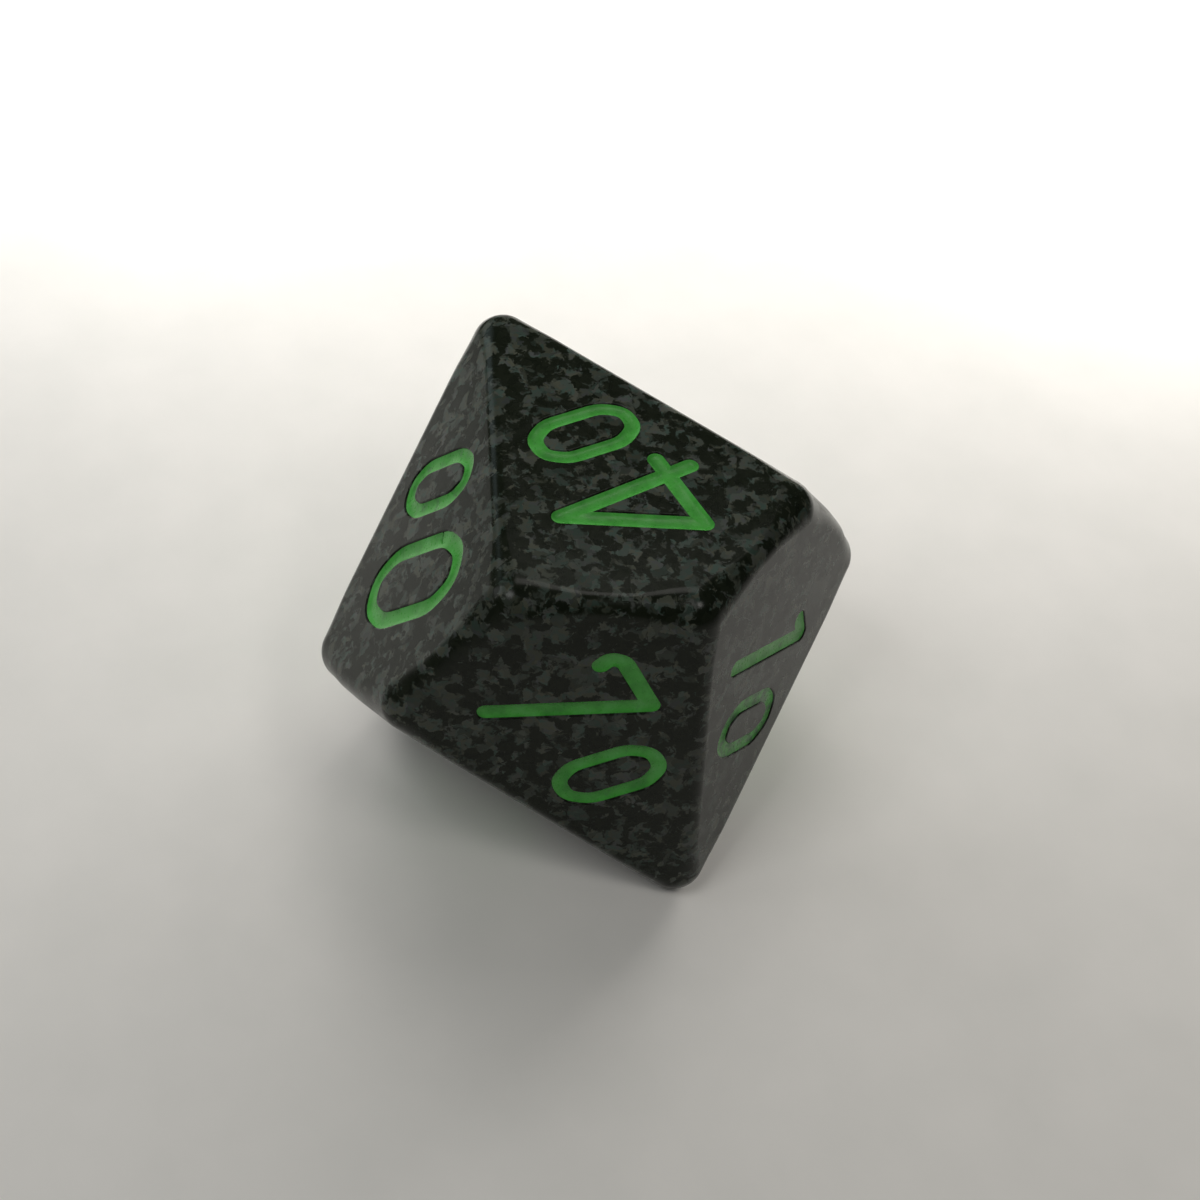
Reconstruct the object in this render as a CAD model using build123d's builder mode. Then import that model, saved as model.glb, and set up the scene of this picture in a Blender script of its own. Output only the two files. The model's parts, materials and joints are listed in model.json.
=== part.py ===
"""Percentile die: ten kite-shaped faces marked 00 to 90 in tens.

The die is a pentagonal trapezohedron. Five faces meet at each of its two poles, every face lies the
same distance from the centre, and each face has a parallel face opposite it. It rests on its 50
face with its 40 face level on top. The origin is the centre of its footprint on the table, +Z is up
and +X is the direction in which the top numeral is read, towards one of the poles.
"""

from build123d import *

import os
from math import cos, radians, sin, tan

# Shape of the die, in millimetres and degrees
FACE_TO_FACE = 16.0
FACE_TILT = 38.5  # from each face's normal to the plane of the equator
EDGE_RADIUS = 0.75
POLE_REACH = 11.9  # from the centre to the worn tip of a pole, which would be 12.85 if it were sharp
BLANK_RADIUS = 14.0  # the ball that the faces are cut from, larger than any corner

# Numerals: the heights are those of the line down the middle of the groove, and the centres are
# measured from the middle of the face, along the numeral and up the digits
TENS_HEIGHT = 5.7
TENS_CENTRE = (-2.45, 0.0)
TENS_GROOVE_WIDTH = 0.72
UNITS_HEIGHT = 3.9
UNITS_CENTRE = (1.7, 0.0)
UNITS_GROOVE_WIDTH = 0.64
GROOVE_DEPTH = 0.40
PAINT_RECESS = 0.06  # how far the dried paint lies below the face

# Tens digits in order round one pole, starting from the top face. The face opposite each of them
# makes the pair add up to nine tens.
TENS_ROUND_POLE = (4, 6, 2, 8, 0)
OPPOSITE_SUM = 9
FACE_STEP = 360 / len(TENS_ROUND_POLE)

# Each digit is a list of lines, drawn about its own centre with a height of one. A line that ends
# where it began is a closed loop.
ZERO_LINES = [
    [(0.11, 0.5), (0.25, 0.3), (0.25, -0.3), (0.11, -0.5),
     (-0.11, -0.5), (-0.25, -0.3), (-0.25, 0.3), (-0.11, 0.5), (0.11, 0.5)],
]
ONE_LINES = [
    [(0.19, -0.5), (0.16, 0.5), (0.02, 0.38)],
]
TWO_LINES = [
    [(-0.25, 0.3), (-0.11, 0.5), (0.11, 0.5), (0.25, 0.34), (0.25, 0.16), (-0.25, -0.5), (0.27, -0.5)],
]
THREE_LINES = [
    [(-0.23, 0.36), (-0.1, 0.5), (0.1, 0.5), (0.23, 0.37), (0.23, 0.16), (0.1, 0.04), (-0.08, 0.04)],
    [(0.1, 0.04), (0.25, -0.11), (0.25, -0.34), (0.11, -0.5), (-0.11, -0.5), (-0.25, -0.34)],
]
FOUR_LINES = [
    [(0.18, -0.5), (0.11, 0.5), (-0.32, -0.33), (0.32, -0.32)],
]
FIVE_LINES = [
    [(0.22, 0.5), (-0.2, 0.5), (-0.24, 0.05), (-0.08, 0.12), (0.1, 0.12),
     (0.25, -0.04), (0.25, -0.34), (0.11, -0.5), (-0.11, -0.5), (-0.25, -0.36)],
]
SIX_LINES = [
    [(0.22, 0.38), (0.1, 0.5), (-0.09, 0.5), (-0.25, 0.3), (-0.25, -0.32), (-0.11, -0.5),
     (0.11, -0.5), (0.25, -0.34), (0.25, -0.07), (0.11, 0.08), (-0.11, 0.08), (-0.25, -0.07)],
]
SEVEN_LINES = [
    [(-0.22, 0.34), (-0.25, 0.42), (-0.19, 0.49), (0.24, 0.5), (-0.14, -0.5)],
]
EIGHT_LINES = [
    [(0.1, 0.05), (0.22, 0.17), (0.22, 0.38), (0.1, 0.5),
     (-0.1, 0.5), (-0.22, 0.38), (-0.22, 0.17), (-0.1, 0.05), (0.1, 0.05)],
    [(0.1, 0.05), (0.26, -0.1), (0.26, -0.35), (0.11, -0.5),
     (-0.11, -0.5), (-0.26, -0.35), (-0.26, -0.1), (-0.1, 0.05)],
]
NINE_LINES = [[(-x, -y) for x, y in line] for line in SIX_LINES]
DIGITS = [
    ZERO_LINES, ONE_LINES, TWO_LINES, THREE_LINES, FOUR_LINES,
    FIVE_LINES, SIX_LINES, SEVEN_LINES, EIGHT_LINES, NINE_LINES,
]

# A line's gentle corners are rounded. The arc takes at most this share of either run, and at most
# this length for a digit of height one.
SHARP_TURN = 80
CORNER_SHARE = 0.4
CORNER_CUT = 0.16

CENTRE = Vector(0, 0, FACE_TO_FACE / 2)
POLE_DIRECTION = Vector(cos(radians(FACE_TILT)), 0, sin(radians(FACE_TILT)))
POLE_AXIS = Axis((0, 0, 0), POLE_DIRECTION)


def plane_of_face(normal, reading):
    """A face's plane, with its local x along the numeral and its local y up the digits."""
    return Plane(origin=CENTRE + normal * (FACE_TO_FACE / 2), x_dir=reading, z_dir=normal)


def planes_of_faces():
    """The plane of each face, by its tens digit."""
    planes = {}
    for step, tens in enumerate(TENS_ROUND_POLE):
        normal = Vector(0, 0, 1).rotate(POLE_AXIS, step * FACE_STEP)
        reading = Vector(1, 0, 0).rotate(POLE_AXIS, step * FACE_STEP)
        planes[tens] = plane_of_face(normal, reading)
        planes[OPPOSITE_SUM - tens] = plane_of_face(-normal, -reading)
    return planes


def corner_radius(before, place, after, longest_cut):
    """Radius of the arc that rounds a line's corner, which is none where the line turns sharply."""
    run_in, run_out = place - before, after - place
    turn = run_in.get_angle(run_out)
    if turn > SHARP_TURN:
        return 0
    cut = min(run_in.length * CORNER_SHARE, run_out.length * CORNER_SHARE, longest_cut)
    return cut / tan(radians(turn / 2))


def draw_digit(digit, height, centre, groove_width):
    """Draws a digit's grooves in the open sketch, as round-ended slots along its lines."""
    for line in DIGITS[digit]:
        points = [Vector(centre[0] + x * height, centre[1] + y * height) for x, y in line]
        corners = list(zip(points, points[1:-1], points[2:]))
        if line[0] == line[-1]:
            corners.insert(0, (points[-2], points[0], points[1]))
        radii = [corner_radius(*corner, CORNER_CUT * height) for corner in corners]
        with BuildLine(mode=Mode.PRIVATE) as path:
            FilletPolyline(points, radius=radii)
        for run in path.edges():
            SlotArc(run, groove_width)


FACES = planes_of_faces()

# Every engraved digit: its name, the face it is in, and how it is drawn there
ENGRAVINGS = []
for tens, face in sorted(FACES.items()):
    large = (tens, TENS_HEIGHT, TENS_CENTRE, TENS_GROOVE_WIDTH)
    small = (0, UNITS_HEIGHT, UNITS_CENTRE, UNITS_GROOVE_WIDTH)
    ENGRAVINGS.append((f"{tens}0_tens", face, large))
    ENGRAVINGS.append((f"{tens}0_units", face, small))

# The die: a ball cut down to a core by ten face planes and two pole planes, each one edge radius
# inside the finished surface, then grown by that radius so that its edges and corners come out round
with BuildPart() as die_body:
    with Locations(CENTRE):
        Sphere(BLANK_RADIUS)
    for face in FACES.values():
        split(bisect_by=face.offset(-EDGE_RADIUS), keep=Keep.BOTTOM)
    for direction in (POLE_DIRECTION, -POLE_DIRECTION):
        tip = Plane(origin=CENTRE + direction * (POLE_REACH - EDGE_RADIUS), z_dir=direction)
        split(bisect_by=tip, keep=Keep.BOTTOM)
    offset(amount=EDGE_RADIUS, kind=Kind.ARC)
    for name, face, drawing in ENGRAVINGS:
        with BuildSketch(face):
            draw_digit(*drawing)
        extrude(amount=-GROOVE_DEPTH, mode=Mode.SUBTRACT)

# The paint in each digit, from the floor of its groove to just below the face
paints = []
for name, face, drawing in ENGRAVINGS:
    with BuildPart() as paint:
        with BuildSketch(face.offset(-PAINT_RECESS)):
            draw_digit(*drawing)
        extrude(amount=PAINT_RECESS - GROOVE_DEPTH)
    paint.part.label = f"paint_{name}"
    paints.append(paint.part)

os.makedirs("parts", exist_ok=True)
die_body.part.label = "die_body"
export_step(die_body.part, "parts/die_body.step")
for part in paints:
    export_step(part, f"parts/{part.label}.step")
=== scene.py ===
"""Looks of the percentile die: its worn plastic body, the paint in its numerals, the table and light.

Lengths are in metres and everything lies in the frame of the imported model. The die rests on its 50
face, the 40 face is on top, and each face's place comes from the record's mounts.
"""

import itertools
import json
from collections import namedtuple
from math import ceil, cos, pi, radians, sin

import bpy
import numpy as np
from mathutils import Matrix, Vector, noise
from mathutils.geometry import delaunay_2d_cdt


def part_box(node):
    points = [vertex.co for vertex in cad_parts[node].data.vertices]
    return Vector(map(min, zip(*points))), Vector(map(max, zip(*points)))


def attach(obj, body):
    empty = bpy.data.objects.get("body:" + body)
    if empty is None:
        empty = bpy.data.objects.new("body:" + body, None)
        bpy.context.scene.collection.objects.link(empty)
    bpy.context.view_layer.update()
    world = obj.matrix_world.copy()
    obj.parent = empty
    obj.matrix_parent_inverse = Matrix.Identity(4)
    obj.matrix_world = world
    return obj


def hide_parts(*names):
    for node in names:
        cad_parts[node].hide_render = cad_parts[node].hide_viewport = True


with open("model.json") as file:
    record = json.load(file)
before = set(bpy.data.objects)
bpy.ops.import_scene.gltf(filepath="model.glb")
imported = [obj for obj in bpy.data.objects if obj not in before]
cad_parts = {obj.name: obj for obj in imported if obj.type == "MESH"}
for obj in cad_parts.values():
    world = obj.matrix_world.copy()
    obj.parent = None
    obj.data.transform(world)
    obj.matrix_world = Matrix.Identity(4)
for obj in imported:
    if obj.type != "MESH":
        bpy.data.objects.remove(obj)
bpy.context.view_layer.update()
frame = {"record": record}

MM = 0.001
TINY = 1e-6  # what rounding errors stay below, in the units at hand

# The plain shape of the die
BODY_LOW, BODY_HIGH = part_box("die_body")
FACE_TO_FACE = BODY_HIGH.z - BODY_LOW.z
INRADIUS = FACE_TO_FACE / 2
CENTRE = np.array([0.0, 0.0, INRADIUS])

# How round it is: along the edges, and at the corners, which tumbling has worn more
EDGE_RADIUS = 0.70 * MM
CORNER_RADIUS = 1.25 * MM
POLE_RADIUS = 2.5 * MM
WEAR_REACH = 3.2 * MM  # how far from a corner its extra roundness dies away
FACES_AT_POLE = 5
ARC_STEPS = 10
EDGE_STEP = 0.3 * MM

# Numerals, as in the design
TENS_HEIGHT = 5.7 * MM
TENS_CENTRE = (-2.45 * MM, 0.0)
TENS_HALF_WIDTH = 0.335 * MM
UNITS_HEIGHT = 3.9 * MM
UNITS_CENTRE = (1.7 * MM, 0.0)
UNITS_HALF_WIDTH = 0.30 * MM
TENS_ROUND_POLE = (4, 6, 2, 8, 0)  # the five faces that meet at one pole, by their tens digit

# Each digit is a list of lines, drawn about its own centre with a height of one. A line that ends
# where it began is a closed loop.
ZERO_LINES = [
    [(0.11, 0.5), (0.25, 0.3), (0.25, -0.3), (0.11, -0.5),
     (-0.11, -0.5), (-0.25, -0.3), (-0.25, 0.3), (-0.11, 0.5), (0.11, 0.5)],
]
ONE_LINES = [
    [(0.19, -0.5), (0.16, 0.5), (0.02, 0.38)],
]
TWO_LINES = [
    [(-0.25, 0.3), (-0.11, 0.5), (0.11, 0.5), (0.25, 0.34), (0.25, 0.16), (-0.25, -0.5), (0.27, -0.5)],
]
THREE_LINES = [
    [(-0.23, 0.36), (-0.1, 0.5), (0.1, 0.5), (0.23, 0.37), (0.23, 0.16), (0.1, 0.04), (-0.08, 0.04)],
    [(0.1, 0.04), (0.25, -0.11), (0.25, -0.34), (0.11, -0.5), (-0.11, -0.5), (-0.25, -0.34)],
]
FOUR_LINES = [
    [(0.18, -0.5), (0.11, 0.5), (-0.32, -0.33), (0.32, -0.32)],
]
FIVE_LINES = [
    [(0.22, 0.5), (-0.2, 0.5), (-0.24, 0.05), (-0.08, 0.12), (0.1, 0.12),
     (0.25, -0.04), (0.25, -0.34), (0.11, -0.5), (-0.11, -0.5), (-0.25, -0.36)],
]
SIX_LINES = [
    [(0.22, 0.38), (0.1, 0.5), (-0.09, 0.5), (-0.25, 0.3), (-0.25, -0.32), (-0.11, -0.5),
     (0.11, -0.5), (0.25, -0.34), (0.25, -0.07), (0.11, 0.08), (-0.11, 0.08), (-0.25, -0.07)],
]
SEVEN_LINES = [
    [(-0.22, 0.34), (-0.25, 0.42), (-0.19, 0.49), (0.24, 0.5), (-0.14, -0.5)],
]
EIGHT_LINES = [
    [(0.1, 0.05), (0.22, 0.17), (0.22, 0.38), (0.1, 0.5),
     (-0.1, 0.5), (-0.22, 0.38), (-0.22, 0.17), (-0.1, 0.05), (0.1, 0.05)],
    [(0.1, 0.05), (0.26, -0.1), (0.26, -0.35), (0.11, -0.5),
     (-0.11, -0.5), (-0.26, -0.35), (-0.26, -0.1), (-0.1, 0.05)],
]
NINE_LINES = [[(-x, -y) for x, y in line] for line in SIX_LINES]
DIGITS = [
    ZERO_LINES, ONE_LINES, TWO_LINES, THREE_LINES, FOUR_LINES,
    FIVE_LINES, SIX_LINES, SEVEN_LINES, EIGHT_LINES, NINE_LINES,
]

# A line's gentle corners are rounded. The arc takes at most this share of either run, and at most
# this length for a digit of height one.
SHARP_TURN = 80.0
CORNER_SHARE = 0.4
CORNER_CUT = 0.16

# Section of a groove: a rounded lip, then a wall with a little draft, then the floor
LIP_RADIUS = 0.07 * MM
LIP_STEPS = 4
WALL_TILT = 80.0  # degrees from level
GROOVE_DEPTH = 0.40 * MM
GROOVE_SAMPLE = 0.40 * MM  # longest stretch between two points along a groove's edge
CAP_STEP = 15.0  # degrees between points round a groove's end

# Section of the paint in it, from the middle of the stroke to the wall, where it has crept up
PAINT_MID_DEPTH = 0.13 * MM
PAINT_WALL_DEPTH = 0.055 * MM
PAINT_OVERLAP = 0.008 * MM  # how far the paint reaches into the plastic, so that no gap shows
PAINT_CREEP = 3.0  # how steeply it curves up at the wall
PAINT_LEVELS = (0.25, 0.5, 0.7, 0.85, 0.95)
PAINT_SAMPLE = 0.16 * MM
PAINT_WAVE = 0.022 * MM  # how uneven its surface is
PAINT_WAVE_SIZE = 0.9 * MM
PAINT_RIM = 0.004 * MM

# Wear of the paint: how much of it has rubbed off each digit, from none to one, and a nick cut across
# the large digit of the 00 face, drawn in the plane of the face in millimetres
PLAIN_WEAR = 0.05
WORN_DIGITS = {"10_units": 0.55, "10_tens": 0.2, "00_units": 0.2}
NICKS = {
    "00_tens": [
        (-0.66, -1.20), (-0.98, -1.14), (-1.18, -1.25),
        (-1.16, -1.32), (-0.96, -1.24), (-0.68, -1.33),
    ],
}

# Gloss. The plastic and the paint bend light less than real ones would, which holds down what they
# mirror of the pale floor.
PLASTIC_IOR = 1.27
PAINT_IOR = 1.36

# The table top under the die, a square
FLOOR_SIZE = 1.2
FLOOR_ROUGHNESS = 0.55

# The camera looks at a point a little beside the die's centre. Azimuths run from +X towards +Y.
CAMERA_AZIMUTH = 146.4
CAMERA_ELEVATION = 48.2
CAMERA_ROLL = 7.3
CAMERA_DISTANCE = 83.8 * MM
CAMERA_LENS = 62.5
CAMERA_SENSOR = 36.0
CAMERA_NEAREST = 5 * MM
AIM_RIGHT = 0.47 * MM
AIM_UP = 0.11 * MM

Face = namedtuple("Face", "tens normal reading up")
Corner = namedtuple("Corner", "place faces radius")
Edge = namedtuple("Edge", "ends faces")
Digit = namedtuple("Digit", "name lines half_width")
Lamp = namedtuple("Lamp", "name azimuth elevation distance size power colour mirrored")

# Square lamps that face the die. The low ones behind it light only the floor and the die's matt
# shading, since mirrored in the rounded edges they would draw white lines.
LAMPS = [
    Lamp("back", -33, 12, 0.100, 0.045, 0.037, (1.0, 0.98, 0.95), False),
    Lamp("back_right", -63, 12, 0.080, 0.035, 0.050, (1.0, 0.98, 0.94), False),
    Lamp("back_left", -3, 22, 0.065, 0.030, 0.016, (1.0, 0.98, 0.95), False),
    Lamp("left", 57, 30, 0.160, 0.080, 0.027, (0.97, 0.99, 1.0), True),
    Lamp("left_high", 102, 60, 0.160, 0.052, 0.043, (0.98, 0.99, 0.97), True),
    Lamp("right_high", -168, 60, 0.160, 0.038, 0.025, (1.0, 0.98, 0.93), True),
    Lamp("sky", 12, 25, 0.100, 0.035, 0.003, (0.75, 0.95, 1.0), True),
    Lamp("top", -35, 66, 0.160, 0.060, 0.026, (1.0, 0.97, 0.92), True),
]
WORLD_COLOUR = (1.0, 0.99, 0.96)
WORLD_STRENGTH = 0.055


# ---------------------------------------------------------------- the plain shape of the die

def unit(vector):
    """A vector's direction."""
    return vector / np.linalg.norm(vector)


def find_faces():
    """The ten faces by tens digit, with the direction in which each one's numeral is read."""
    normals = {}
    for mount in frame["record"]["mounts"]:
        tens = int(mount["name"].removeprefix("face_")) // 10
        normals[tens] = unit(np.array(mount["axis"], float))
    pole = unit(sum(normals[tens] for tens in TENS_ROUND_POLE))
    faces = {}
    for tens, normal in sorted(normals.items()):
        nearer_pole = pole if tens in TENS_ROUND_POLE else -pole
        reading = unit(nearer_pole - normal * (nearer_pole @ normal))
        faces[tens] = Face(tens, normal, reading, np.cross(normal, reading))
    return faces


def find_corners(faces):
    """The twelve corners of the sharp die, measured from its centre."""
    tiny = TINY * MM
    corners = []
    for trio in itertools.combinations(faces.values(), 3):
        normals = np.array([face.normal for face in trio])
        if abs(np.linalg.det(normals)) < TINY:
            continue
        place = np.linalg.solve(normals, np.full(3, INRADIUS))
        heights = {tens: face.normal @ place - INRADIUS for tens, face in faces.items()}
        if max(heights.values()) > tiny:
            continue
        if any(np.linalg.norm(place - other.place) < tiny for other in corners):
            continue
        touching = {tens for tens, height in heights.items() if height > -tiny}
        radius = POLE_RADIUS if len(touching) == FACES_AT_POLE else CORNER_RADIUS
        corners.append(Corner(place, touching, radius))
    return corners


def corner_name(corner):
    return tuple(np.round(corner.place / MM, 3))


def find_edges(corners):
    """Each edge joins two corners that share two faces."""
    edges = []
    for start, end in itertools.combinations(corners, 2):
        shared = sorted(start.faces & end.faces)
        if len(shared) == 2:
            edges.append(Edge((start, end), shared))
    return edges


# ---------------------------------------------------------------- lines, and the distance to them

def digit_lines(digit, height, centre):
    lines = [softened([np.array(point) for point in line]) for line in DIGITS[digit]]
    return [[np.array(centre) + point * height for point in line] for line in lines]


def digits_of(tens):
    """The two digits engraved in a face: its tens digit and a smaller nought."""
    return [
        Digit(f"{tens}0_tens", digit_lines(tens, TENS_HEIGHT, TENS_CENTRE), TENS_HALF_WIDTH),
        Digit(f"{tens}0_units", digit_lines(0, UNITS_HEIGHT, UNITS_CENTRE), UNITS_HALF_WIDTH),
    ]


def distance_to_lines(points, lines):
    """Each point's distance to the nearest line, and the direction that leads away from it."""
    nearest = np.full(len(points), np.inf)
    away = np.zeros((len(points), 2))
    for line in lines:
        for start, end in zip(line, line[1:]):
            run = end - start
            along = np.clip((points - start) @ run / (run @ run), 0, 1)
            offset = points - (start + along[:, None] * run)
            distance = np.linalg.norm(offset, axis=1)
            closer = distance < nearest
            nearest[closer] = distance[closer]
            away[closer] = offset[closer] / np.maximum(distance[closer, None], 1e-12)
    return nearest, away


def inside_outline(points, outline):
    """Which points lie inside a closed outline."""
    inside = np.zeros(len(points), bool)
    for (x0, y0), (x1, y1) in zip(outline, outline[1:] + outline[:1]):
        crosses = (points[:, 1] < y0) != (points[:, 1] < y1)
        share = (points[:, 1] - y0) / (y1 - y0)
        inside ^= crosses & (points[:, 0] < x0 + share * (x1 - x0))
    return inside


def left_of(direction):
    return np.array([-direction[1], direction[0]])


def arc(centre, radius, start, end, clockwise):
    """Points on an arc from one direction to another, both ends included."""
    first = np.arctan2(start[1], start[0])
    turn = (np.arctan2(end[1], end[0]) - first) % (2 * pi)
    if clockwise:
        turn -= 2 * pi
    steps = max(1, ceil(abs(turn) / radians(CAP_STEP)))
    angles = [first + turn * step / steps for step in range(steps + 1)]
    return [centre + radius * np.array([cos(angle), sin(angle)]) for angle in angles]


def softened(line):
    """A line whose gentle corners have become arcs."""
    closed = np.allclose(line[0], line[-1])
    if closed:
        corners = zip(line[-2:-1] + line[:-2], line[:-1], line[1:])
        path = []
    else:
        corners = zip(line, line[1:-1], line[2:])
        path = [line[0]]
    for before, place, after in corners:
        run_in, run_out = place - before, after - place
        cut = min(CORNER_SHARE * min(np.linalg.norm(run_in), np.linalg.norm(run_out)), CORNER_CUT)
        run_in, run_out = unit(run_in), unit(run_out)
        turn = np.arctan2(run_in[0] * run_out[1] - run_in[1] * run_out[0], run_in @ run_out)
        if abs(turn) > radians(SHARP_TURN):
            path.append(place)
            continue
        side = 1 if turn > 0 else -1
        radius = cut / np.tan(abs(turn) / 2)
        centre = place - run_in * cut + left_of(run_in) * side * radius
        path += arc(centre, radius, -side * left_of(run_in), -side * left_of(run_out), turn < 0)
    path.append(path[0] if closed else line[-1])
    steps = zip(path, path[1:])
    return path[:1] + [point for before, point in steps if np.linalg.norm(point - before) > TINY]


def left_side(line, distance, closed):
    """The path that keeps a distance to the left of a line, round at its outer corners."""
    runs = [unit(end - start) for start, end in zip(line, line[1:])]
    corners = list(zip(line[1:], runs, runs[1:]))
    if closed:
        corners.append((line[0], runs[-1], runs[0]))
        path = []
    else:
        path = [line[0] + distance * left_of(runs[0])]
    for place, before, after in corners:
        turn_left = before[0] * after[1] - before[1] * after[0]
        if turn_left > 0:
            middle = left_of(before) + left_of(after)
            path.append(place + middle * distance / (1 + before @ after))
        else:
            path += arc(place, distance, left_of(before), left_of(after), clockwise=True)
    if not closed:
        path.append(line[-1] + distance * left_of(runs[-1]))
    return path


def outlines(line, distance):
    """The closed paths that keep a distance from a line: round an open one, or on both sides."""
    back = line[::-1]
    if np.allclose(line[0], line[-1]):
        return [left_side(line, distance, True), left_side(back, distance, True)]
    first, last = unit(line[1] - line[0]), unit(line[-1] - line[-2])
    far_cap = arc(line[-1], distance, left_of(last), -left_of(last), clockwise=True)
    near_cap = arc(line[0], distance, -left_of(first), left_of(first), clockwise=True)
    path = left_side(line, distance, False) + far_cap[1:-1]
    path += left_side(back, distance, False) + near_cap[1:-1]
    return [path]


def sampled(path, longest, closed):
    """A path with points added on its long straight stretches."""
    ends = path[1:] + path[:1] if closed else path[1:]
    points = []
    for start, end in zip(path, ends):
        steps = max(1, ceil(np.linalg.norm(end - start) / longest))
        points += [start + (end - start) * step / steps for step in range(steps)]
    if not closed:
        points.append(path[-1])
    return points


class Drawing:
    """Points and edges in a face's plane that its triangles have to keep."""

    def __init__(self):
        self.points = []
        self.edges = []

    def add(self, path, closed):
        first = len(self.points)
        self.points += path
        count = len(path)
        for step in range(count if closed else count - 1):
            self.edges.append((first + step, first + (step + 1) % count))

    def add_digit(self, digit, distances, longest):
        for line in digit.lines:
            loop = np.allclose(line[0], line[-1])
            self.add(sampled(line[:-1] if loop else line, longest, loop), loop)
            for distance in distances:
                for path in outlines(line, distance):
                    self.add(sampled(path, longest, True), True)

    def triangles(self):
        """Triangles over the drawing, and for each of their points the ones that it came from."""
        flat = [Vector(point / MM) for point in self.points]
        made = delaunay_2d_cdt(flat, self.edges, [], 1, 1e-5)
        points = np.array([tuple(point) for point in made[0]], float) * MM
        return points, [tuple(face) for face in made[2]], made[3]


# ---------------------------------------------------------------- the body

def groove_section(half_width):
    """Distances from the middle of a groove, with the depth and the tilt of its surface there."""
    section = [(0.0, GROOVE_DEPTH, 0.0)]
    wall_run = (GROOVE_DEPTH - LIP_RADIUS) / np.tan(radians(WALL_TILT))
    section.append((half_width - wall_run, GROOVE_DEPTH, WALL_TILT))
    for step in range(LIP_STEPS + 1):
        tilt = WALL_TILT * (1 - step / LIP_STEPS)
        back = LIP_RADIUS * sin(radians(tilt))
        depth = LIP_RADIUS * (1 - cos(radians(tilt)))
        section.append((half_width + LIP_RADIUS - back, depth, tilt))
    return np.array(section)


class Skin:
    """A closed surface made of patches that share their border points."""

    def __init__(self, faces):
        self.points = []
        self.normals = []
        self.polygons = []
        self.known = {}
        self.borders = {tens: set() for tens in faces}

    def point(self, place, normal, key=None):
        """Adds a point, or finds the one that another patch added under the same key."""
        if key is not None and key in self.known:
            return self.known[key]
        self.points.append(place)
        self.normals.append(normal)
        if key is not None:
            self.known[key] = len(self.points) - 1
        return len(self.points) - 1

    def polygon(self, corners):
        """Adds a polygon, turned so that it faces the way its points' normals do."""
        corners = list(dict.fromkeys(corners))
        if len(corners) < 3:
            return
        a, b, c = (self.points[corner] for corner in corners[:3])
        outward = sum(self.normals[corner] for corner in corners)
        if np.cross(b - a, c - a) @ outward < 0:
            corners.reverse()
        self.polygons.append(corners)

    def grid(self, rows):
        """Joins rows of points with four-sided polygons."""
        for before, after in zip(rows, rows[1:]):
            for turn in range(len(before) - 1):
                self.polygon([before[turn], before[turn + 1], after[turn + 1], after[turn]])

    def mesh(self, name):
        mesh = bpy.data.meshes.new(name)
        mesh.from_pydata([tuple(point) for point in self.points], [], self.polygons)
        mesh.polygons.foreach_set("use_smooth", [True] * len(mesh.polygons))
        mesh.normals_split_custom_set_from_vertices([tuple(normal) for normal in self.normals])
        mesh.validate()
        return mesh


def roundness(place, ends):
    """Radius of an edge's rounding, which grows towards its two corners."""
    radius = EDGE_RADIUS
    for corner in ends:
        nearness = max(0.0, 1 - np.linalg.norm(place - corner.place) / WEAR_REACH)
        radius += (corner.radius - EDGE_RADIUS) * nearness * nearness * (3 - 2 * nearness)
    return radius


def blend(first, second, share):
    return unit(first * (1 - share) + second * share)


def round_edge(skin, faces, edge):
    """Rolls a ball along an edge, touching both faces, and skins its outer side."""
    start, end = edge.ends
    low, high = (faces[tens] for tens in edge.faces)
    length = np.linalg.norm(end.place - start.place)
    steps = ceil(length / EDGE_STEP)
    rows = []
    for step in range(steps + 1):
        sharp = start.place + (end.place - start.place) * step / steps
        radius = roundness(sharp, edge.ends)
        ball = CENTRE + sharp * (1 - radius / INRADIUS)
        row = []
        for turn in range(ARC_STEPS + 1):
            normal = blend(low.normal, high.normal, turn / ARC_STEPS)
            tens = {0: low.tens, ARC_STEPS: high.tens}.get(turn)
            if step in (0, steps):
                corner = start if step == 0 else end
                key = corner_key(corner, edge, turn, tens)
            else:
                key = None
            index = skin.point(ball + radius * normal, normal, key)
            row.append(index)
            if tens is not None:
                skin.borders[tens].add(index)
        rows.append(row)
    skin.grid(rows)


def corner_key(corner, edge, turn, tens):
    """Name of a point where an edge's rounding meets a corner's."""
    if tens is None:
        return corner_name(corner), tuple(edge.faces), turn
    return corner_name(corner), tens


def round_corner(skin, faces, corner, edges):
    """A patch of a ball that touches all of the corner's faces, in one fan per edge."""
    ball = CENTRE + corner.place * (1 - corner.radius / INRADIUS)
    middle = unit(sum(faces[tens].normal for tens in corner.faces))
    for edge in edges:
        low, high = (faces[tens] for tens in edge.faces)
        rows = []
        for ring in range(ARC_STEPS + 1):
            row = []
            for turn in range(ARC_STEPS + 1):
                rim = blend(low.normal, high.normal, turn / ARC_STEPS)
                normal = blend(middle, rim, ring / ARC_STEPS)
                tens = {0: low.tens, ARC_STEPS: high.tens}.get(turn)
                if ring == ARC_STEPS:
                    key = corner_key(corner, edge, turn, tens)
                elif ring == 0:
                    key = (corner_name(corner), "middle")
                elif tens is not None:
                    key = (corner_name(corner), tens, ring)
                else:
                    key = None
                row.append(skin.point(ball + corner.radius * normal, normal, key))
            rows.append(row)
        skin.grid(rows)


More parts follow.
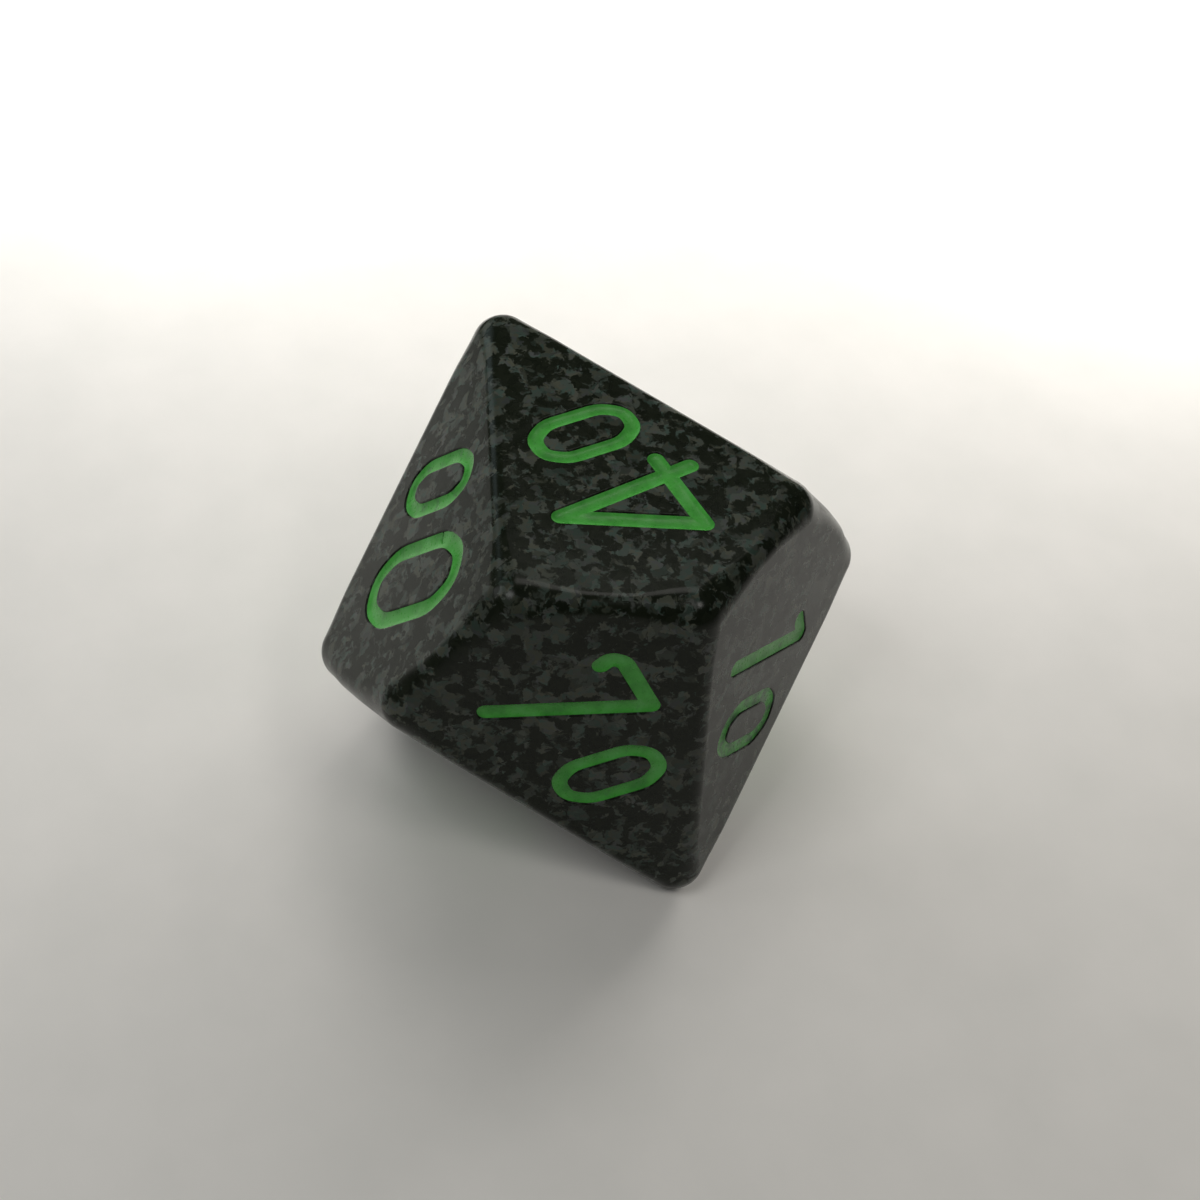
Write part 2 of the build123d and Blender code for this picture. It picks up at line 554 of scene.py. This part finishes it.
def engraved_face(skin, face):
    """Fills a face between its rounded edges, with its two digits pressed into it."""
    middle = CENTRE + INRADIUS * face.normal
    border = sorted(skin.borders[face.tens])
    offsets = [skin.points[index] - middle for index in border]
    flat = np.array([(offset @ face.reading, offset @ face.up) for offset in offsets])
    order = np.argsort(np.arctan2(flat[:, 1], flat[:, 0]))
    drawing = Drawing()
    drawing.add([flat[place] for place in order], True)
    digits = digits_of(face.tens)
    for digit in digits:
        distances = groove_section(digit.half_width)[1:, 0]
        drawing.add_digit(digit, distances, GROOVE_SAMPLE)
    points, triangles, origins = drawing.triangles()

    depth = np.zeros(len(points))
    tilt = np.zeros(len(points))
    away = np.zeros((len(points), 2))
    for digit in digits:
        section = groove_section(digit.half_width)
        distance, direction = distance_to_lines(points, digit.lines)
        inside = distance < section[-1, 0]
        depth[inside] = np.interp(distance[inside], section[:, 0], section[:, 1])
        tilt[inside] = np.interp(distance[inside], section[:, 0], section[:, 2])
        away[inside] = direction[inside]

    indices = []
    for number, (x, y) in enumerate(points):
        on_border = [origin for origin in origins[number] if origin < len(border)]
        if on_border:
            indices.append(border[order[on_border[0]]])
            continue
        place = middle + x * face.reading + y * face.up - depth[number] * face.normal
        lean = away[number][0] * face.reading + away[number][1] * face.up
        angle = radians(tilt[number])
        normal = unit(cos(angle) * face.normal - sin(angle) * lean)
        indices.append(skin.point(place, normal))
    for triangle in triangles:
        corners = [indices[corner] for corner in triangle]
        a, b, c = (skin.points[corner] for corner in corners)
        if np.cross(b - a, c - a) @ face.normal < 0:
            corners.reverse()
        skin.polygons.append(corners)


def make_body(faces, corners, edges):
    skin = Skin(faces)
    for edge in edges:
        round_edge(skin, faces, edge)
    for corner in corners:
        meeting = [edge for edge in edges if set(edge.faces) <= corner.faces]
        meeting = [edge for edge in meeting if any(end is corner for end in edge.ends)]
        round_corner(skin, faces, corner, meeting)
    for face in faces.values():
        engraved_face(skin, face)
    return skin.mesh("worn_die_body")


# ---------------------------------------------------------------- the paint

def paint_depth(points, distance, half_width, face):
    """How far the dried paint lies below the face: least at the walls, and a little uneven."""
    share = np.clip(distance / half_width, 0, 1) ** PAINT_CREEP
    depth = PAINT_MID_DEPTH + (PAINT_WALL_DEPTH - PAINT_MID_DEPTH) * share
    for number, (x, y) in enumerate(points):
        place = (x * face.reading + y * face.up + INRADIUS * face.normal) / PAINT_WAVE_SIZE
        depth[number] += PAINT_WAVE * noise.noise(Vector(place)) * (1 - share[number])
    return depth


def make_paint(face, digit):
    """A closed piece of paint that fills one digit's groove."""
    reach = digit.half_width + PAINT_OVERLAP
    levels = [digit.half_width * level for level in PAINT_LEVELS] + [reach]
    drawing = Drawing()
    drawing.add_digit(digit, levels, PAINT_SAMPLE)
    nick = [np.array(point) * MM for point in NICKS.get(digit.name, ())]
    if nick:
        drawing.add(nick, True)
    points, triangles, _ = drawing.triangles()
    middles = points[np.array(triangles)].mean(axis=1)
    kept = (distance_to_lines(middles, digit.lines)[0] < reach) & ~inside_outline(middles, nick)
    triangles = [triangle for triangle, inside in zip(triangles, kept) if inside]
    used = sorted({corner for triangle in triangles for corner in triangle})
    renumber = {corner: number for number, corner in enumerate(used)}
    triangles = [tuple(renumber[corner] for corner in triangle) for triangle in triangles]
    points = points[used]

    distance, _ = distance_to_lines(points, digit.lines)
    top = paint_depth(points, distance, digit.half_width, face)
    section = groove_section(digit.half_width)
    bottom = np.maximum(np.interp(distance, section[:, 0], section[:, 1]), top + PAINT_RIM)
    middle = CENTRE + INRADIUS * face.normal
    flat = middle + points[:, :1] * face.reading + points[:, 1:] * face.up
    count = len(points)
    places = np.concatenate([flat - top[:, None] * face.normal, flat - bottom[:, None] * face.normal])

    sides = []
    polygons = []
    for a, b, c in triangles:
        turned = np.cross(points[b] - points[a], points[c] - points[a]) < 0
        a, b = (b, a) if turned else (a, b)
        polygons.append((a, b, c))
        polygons.append((c + count, b + count, a + count))
        sides += [(a, b), (b, c), (c, a)]
    known_sides = set(sides)
    for a, b in sides:
        if (b, a) not in known_sides:
            polygons.append((b, a, a + count, b + count))
    mesh = bpy.data.meshes.new(f"paint_fill_{digit.name}")
    mesh.from_pydata([tuple(place) for place in places], [], polygons)
    mesh.polygons.foreach_set("use_smooth", [True] * len(mesh.polygons))
    mesh.validate()
    wear = mesh.attributes.new("wear", "FLOAT", "POINT")
    wear.data.foreach_set("value", [WORN_DIGITS.get(digit.name, PLAIN_WEAR)] * len(mesh.vertices))
    return mesh


# ---------------------------------------------------------------- materials

class Nodes:
    """Short ways to add and join a material's nodes."""

    def __init__(self, name):
        self.material = bpy.data.materials.new(name)
        self.material.use_nodes = True
        self.tree = self.material.node_tree
        self.surface = self.tree.nodes["Principled BSDF"]

    def add(self, kind, inputs=None, **settings):
        node = self.tree.nodes.new(kind)
        for key, value in settings.items():
            setattr(node, key, value)
        for key, value in (inputs or {}).items():
            if isinstance(value, bpy.types.NodeSocket):
                self.tree.links.new(value, node.inputs[key])
            else:
                node.inputs[key].default_value = value
        return node

    def ramp(self, factor, stops):
        """A colour ramp. Each stop is a place on it with a colour, or with a number for a grey."""
        node = self.add("ShaderNodeValToRGB", {"Fac": factor})
        elements = node.color_ramp.elements
        while len(elements) < len(stops):
            elements.new(1.0)
        for element, (position, colour) in zip(elements, stops):
            element.position = position
            element.color = (*colour, 1.0) if isinstance(colour, tuple) else (colour,) * 3 + (1.0,)
        return node.outputs["Color"]

    def mix(self, factor, first, second, blend_type="MIX"):
        node = self.add("ShaderNodeMix", data_type="RGBA", blend_type=blend_type)
        factor_socket, first_socket, second_socket = (node.inputs[number] for number in (0, 6, 7))
        pairs = ((factor_socket, factor), (first_socket, first), (second_socket, second))
        for socket, value in pairs:
            if isinstance(value, bpy.types.NodeSocket):
                self.tree.links.new(value, socket)
            else:
                socket.default_value = (*value, 1.0) if isinstance(value, tuple) else value
        return node.outputs[2]

    def maths(self, operation, first, second):
        return self.add("ShaderNodeMath", {0: first, 1: second}, operation=operation).outputs[0]

    def finish(self, **inputs):
        """Sets the surface's inputs, with underscores for the spaces in their names."""
        for key, value in inputs.items():
            socket = self.surface.inputs[key.replace("_", " ")]
            if isinstance(value, bpy.types.NodeSocket):
                self.tree.links.new(value, socket)
            else:
                socket.default_value = value
        return self.material


def object_place(nodes):
    """The point on the object, in millimetres."""
    place = nodes.add("ShaderNodeTexCoord").outputs["Object"]
    scale = nodes.add("ShaderNodeVectorMath", {0: place, "Scale": 1 / MM}, operation="SCALE")
    return scale.outputs["Vector"]


def speckled_plastic():
    """Black plastic filled with irregular grey flakes, polished, with fine scuffs."""
    nodes = Nodes("speckled_plastic")
    place = object_place(nodes)
    wander = nodes.add("ShaderNodeTexNoise", {"Vector": place, "Scale": 1.8, "Detail": 3.0})
    shift = nodes.add(
        "ShaderNodeVectorMath", {0: wander.outputs["Color"], "Scale": 0.8}, operation="SCALE",
    )
    bent = nodes.add("ShaderNodeVectorMath", {0: place, 1: shift.outputs["Vector"]}, operation="ADD")
    bent = bent.outputs["Vector"]

    blots = nodes.add("ShaderNodeTexNoise", {
        "Vector": bent, "Scale": 1.4, "Detail": 3.0, "Roughness": 0.62,
    })
    flakes = nodes.add("ShaderNodeTexVoronoi", {"Vector": bent, "Scale": 1.9})
    flake = nodes.add("ShaderNodeSeparateColor", {"Color": flakes.outputs["Color"]})
    chips = nodes.add("ShaderNodeTexVoronoi", {"Vector": bent, "Scale": 4.4})
    chip = nodes.add("ShaderNodeSeparateColor", {"Color": chips.outputs["Color"]})
    ground = nodes.ramp(chip.outputs["Red"], [
        (0.0, (0.0058, 0.0084, 0.0044)),
        (1.0, (0.0105, 0.0138, 0.0078)),
    ])
    grey = nodes.ramp(flake.outputs["Red"], [
        (0.0, (0.027, 0.035, 0.028)),
        (1.0, (0.064, 0.077, 0.066)),
    ])
    tint = nodes.ramp(chip.outputs["Blue"], [
        (0.0, (0.80, 1.04, 1.0)),
        (0.35, (1.0, 1.0, 1.0)),
        (0.7, (1.14, 1.0, 0.86)),
        (1.0, (1.04, 0.95, 1.10)),
    ])
    grey = nodes.mix(1.0, grey, tint, "MULTIPLY")
    chance = nodes.maths("MULTIPLY", flake.outputs["Green"], 0.10)
    level = nodes.maths("ADD", blots.outputs["Fac"], chance)
    share = nodes.ramp(level, [(0.535, 0.0), (0.60, 1.0)])
    colour = nodes.mix(share, ground, grey)

    scuff = nodes.add("ShaderNodeTexNoise", {
        "Vector": place, "Scale": 1.3, "Detail": 6.0, "Roughness": 0.7,
    })
    rough = nodes.add("ShaderNodeMapRange", {
        "Value": scuff.outputs["Fac"], "From Min": 0.35, "From Max": 0.7, "To Min": 0.16, "To Max": 0.27,
    }).outputs["Result"]
    grain = nodes.add("ShaderNodeTexNoise", {"Vector": place, "Scale": 9.0, "Detail": 3.0})
    bump = nodes.add("ShaderNodeBump", {
        "Height": grain.outputs["Fac"], "Strength": 0.12, "Distance": 0.01 * MM,
    })
    return nodes.finish(
        Base_Color=colour, Roughness=rough, IOR=PLASTIC_IOR, Normal=bump.outputs["Normal"],
    )


def numeral_paint():
    """Green paint that dried in the grooves, uneven in colour and gloss, and thin where it is worn."""
    nodes = Nodes("numeral_paint")
    place = object_place(nodes)
    cloud = nodes.add("ShaderNodeTexNoise", {"Vector": place, "Scale": 1.4, "Detail": 4.0})
    colour = nodes.ramp(cloud.outputs["Fac"], [
        (0.30, (0.042, 0.270, 0.036)),
        (0.52, (0.066, 0.375, 0.052)),
        (0.75, (0.100, 0.430, 0.095)),
    ])
    patch = nodes.add("ShaderNodeTexNoise", {
        "Vector": place, "Scale": 2.2, "Detail": 5.0, "Roughness": 0.6,
    })
    wear = nodes.add("ShaderNodeAttribute", attribute_name="wear").outputs["Fac"]
    thin = nodes.maths("ADD", nodes.maths("MULTIPLY", wear, 0.45), patch.outputs["Fac"])
    bare = nodes.ramp(thin, [(0.66, 0.0), (0.86, 0.85)])
    colour = nodes.mix(bare, colour, (0.055, 0.125, 0.060))
    specks = nodes.add("ShaderNodeTexNoise", {"Vector": place, "Scale": 8.0, "Detail": 2.0})
    rough = nodes.add("ShaderNodeMapRange", {
        "Value": specks.outputs["Fac"], "From Min": 0.3, "From Max": 0.7, "To Min": 0.24, "To Max": 0.40,
    }).outputs["Result"]
    bump = nodes.add("ShaderNodeBump", {
        "Height": specks.outputs["Fac"], "Strength": 0.35, "Distance": 0.02 * MM,
    })
    return nodes.finish(
        Base_Color=colour, Roughness=rough, IOR=PAINT_IOR, Normal=bump.outputs["Normal"],
    )


def table_top():
    """Pale smooth board under the die."""
    nodes = Nodes("table_top")
    place = object_place(nodes)
    mottle = nodes.add("ShaderNodeTexNoise", {"Vector": place, "Scale": 0.25, "Detail": 5.0})
    colour = nodes.ramp(mottle.outputs["Fac"], [
        (0.3, (0.78, 0.765, 0.735)),
        (0.7, (0.82, 0.80, 0.77)),
    ])
    return nodes.finish(Base_Color=colour, Roughness=FLOOR_ROUGHNESS)


# ---------------------------------------------------------------- putting it together

def add_piece(mesh, name, material, node):
    """Shows a mesh in place of a CAD node, riding on the one body that the die has."""
    piece = bpy.data.objects.new(name, mesh)
    bpy.context.scene.collection.objects.link(piece)
    mesh.materials.append(material)
    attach(piece, "root")
    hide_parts(node)


def add_floor():
    mesh = bpy.data.meshes.new("floor")
    half = FLOOR_SIZE / 2
    corners = [(-half, -half, 0), (half, -half, 0), (half, half, 0), (-half, half, 0)]
    mesh.from_pydata(corners, [], [(0, 1, 2, 3)])
    mesh.materials.append(table_top())
    floor = bpy.data.objects.new("floor", mesh)
    bpy.context.scene.collection.objects.link(floor)


def direction(azimuth, elevation):
    """Direction from the die, with both angles in degrees."""
    azimuth = radians(azimuth)
    elevation = radians(elevation)
    return Vector((cos(elevation) * cos(azimuth), cos(elevation) * sin(azimuth), sin(elevation)))


def add_camera():
    data = bpy.data.cameras.new("camera")
    data.lens = CAMERA_LENS
    data.sensor_width = CAMERA_SENSOR
    data.clip_start = CAMERA_NEAREST
    camera = bpy.data.objects.new("camera", data)
    bpy.context.scene.collection.objects.link(camera)
    back = direction(CAMERA_AZIMUTH, CAMERA_ELEVATION)
    level = back.to_track_quat("Z", "Y").to_matrix()
    turn = level @ Matrix.Rotation(radians(CAMERA_ROLL), 3, "Z")
    aim = Vector(CENTRE) + turn.col[0] * AIM_RIGHT + turn.col[1] * AIM_UP
    camera.matrix_world = Matrix.Translation(aim + back * CAMERA_DISTANCE) @ turn.to_4x4()
    bpy.context.scene.camera = camera


def add_lamp(lamp):
    data = bpy.data.lights.new(lamp.name, "AREA")
    data.shape = "SQUARE"
    data.size = lamp.size
    data.energy = lamp.power
    data.color = lamp.colour
    light = bpy.data.objects.new(lamp.name, data)
    bpy.context.scene.collection.objects.link(light)
    towards = direction(lamp.azimuth, lamp.elevation)
    light.location = towards * lamp.distance
    light.rotation_mode = "QUATERNION"
    light.rotation_quaternion = towards.to_track_quat("Z", "Y")
    light.visible_camera = False
    light.visible_glossy = lamp.mirrored


def add_world():
    world = bpy.data.worlds.new("world")
    world.use_nodes = True
    background = world.node_tree.nodes["Background"]
    background.inputs["Color"].default_value = (*WORLD_COLOUR, 1.0)
    background.inputs["Strength"].default_value = WORLD_STRENGTH
    bpy.context.scene.world = world


faces = find_faces()
corners = find_corners(faces)
edges = find_edges(corners)
plastic = speckled_plastic()
paint = numeral_paint()
add_piece(make_body(faces, corners, edges), "worn_die_body", plastic, "die_body")
for face in faces.values():
    for digit in digits_of(face.tens):
        mesh = make_paint(face, digit)
        add_piece(mesh, f"paint_fill_{digit.name}", paint, f"paint_{digit.name}")

add_floor()
add_camera()
for lamp in LAMPS:
    add_lamp(lamp)
add_world()
bpy.context.scene.view_settings.view_transform = "Standard"
